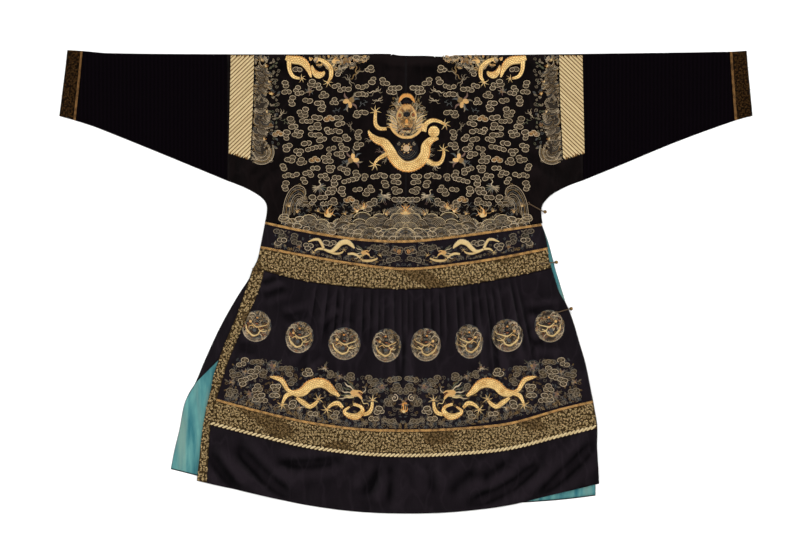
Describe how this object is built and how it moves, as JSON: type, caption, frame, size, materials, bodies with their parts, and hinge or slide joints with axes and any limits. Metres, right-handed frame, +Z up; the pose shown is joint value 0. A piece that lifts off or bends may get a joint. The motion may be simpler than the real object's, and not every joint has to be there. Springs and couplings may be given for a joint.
{
  "type": "embroidered court robe",
  "caption": "Flat-laid silk court robe with long sleeves, slanted brocade cuffs, waist band, pleated skirt with a separate hem band, stepped front overlap, and looped ball buttons.",
  "frame": {"origin": "centre of the robe's bounding box in plan, on the surface that it lies on", "axes": "+X along the spread sleeves towards the side with the turquoise strip and buttons, +Y from hem to collar, +Z up through the cloth, from the front panels that rest to the back panels on top"},
  "size_m": [1.94, 1.2967, 0.0137],
  "materials": {
    "black_silk": "black silk satin",
    "sleeve_silk": "finely ribbed black silk",
    "brocade": "gold figured brocade on black",
    "gold_braid": "woven metal-thread braid",
    "turquoise_silk": "turquoise silk lining",
    "button_metal": "dull gilt",
    "cord": "twisted silk cord"
  },
  "bodies": {
    "root": {"bodice_left": "black_silk", "bodice_right": "black_silk", "sleeve_left": "sleeve_silk", "sleeve_right": "sleeve_silk", "cuff_left": "brocade", "cuff_right": "brocade", "cuff_braid_left": "gold_braid", "cuff_braid_right": "gold_braid", "front_overlap": "black_silk", "waist_band": "black_silk", "waist_braid_upper": "gold_braid", "waist_braid_lower": "gold_braid", "waist_brocade": "brocade", "skirt_back": "black_silk", "skirt_braid": "gold_braid", "skirt_brocade": "brocade", "rope_braid": "gold_braid", "side_strip": "brocade", "hem_band": "black_silk", "skirt_front": "black_silk", "side_gore_left": "black_silk", "skirt_lining_left": "turquoise_silk", "skirt_lining_right": "turquoise_silk", "toggle_button_1": "button_metal", "toggle_button_2": "button_metal", "toggle_button_3": "button_metal", "toggle_cord_1": "cord", "toggle_cord_2": "cord", "toggle_cord_3": "cord"}
  },
  "joints": []
}
